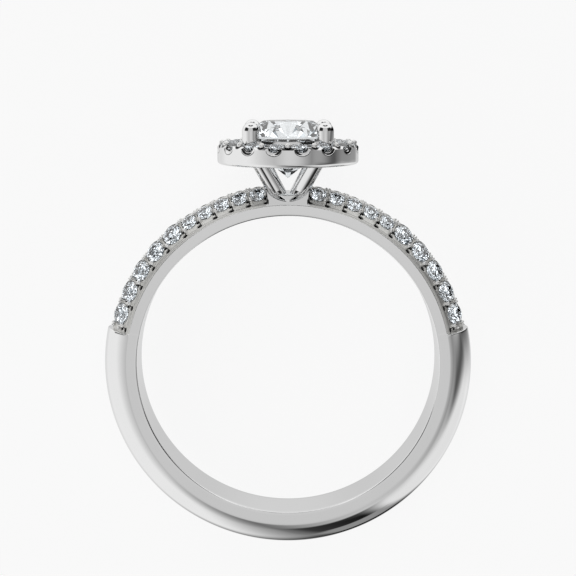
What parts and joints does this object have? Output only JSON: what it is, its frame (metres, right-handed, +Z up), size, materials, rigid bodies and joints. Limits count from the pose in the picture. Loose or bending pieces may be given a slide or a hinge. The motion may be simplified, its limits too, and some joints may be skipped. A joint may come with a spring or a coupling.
{
  "type": "halo ring",
  "caption": "Finger ring with a round brilliant in four claws, a halo of small round stones about it, and a plain domed band whose shoulders are set with small stones.",
  "frame": {"origin": "middle of the outline that the lying ring has from above, on the surface that it lies on", "axes": "+Z up from the surface; +Y from the bottom of the band to the head; +X to the right as seen from the picture's side, which faces up"},
  "size_m": [0.0208, 0.0244, 0.0079],
  "materials": {
    "polished_metal": "white gold or platinum, mirror polished, slightly duller under the small stones",
    "center_stone": "colourless round brilliant, polished facets",
    "small_stones": "colourless small round stones, polished facets"
  },
  "bodies": {
    "root": {"ring_metal": "polished_metal", "center_stone": "center_stone", "halo_stone_01": "small_stones", "halo_stone_02": "small_stones", "halo_stone_03": "small_stones", "halo_stone_04": "small_stones", "halo_stone_05": "small_stones", "halo_stone_06": "small_stones", "halo_stone_07": "small_stones", "halo_stone_08": "small_stones", "halo_stone_09": "small_stones", "halo_stone_10": "small_stones", "halo_stone_11": "small_stones", "halo_stone_12": "small_stones", "halo_stone_13": "small_stones", "halo_stone_14": "small_stones", "halo_stone_15": "small_stones", "halo_stone_16": "small_stones", "pave_stones_left": "small_stones", "pave_stones_right": "small_stones"}
  },
  "joints": []
}
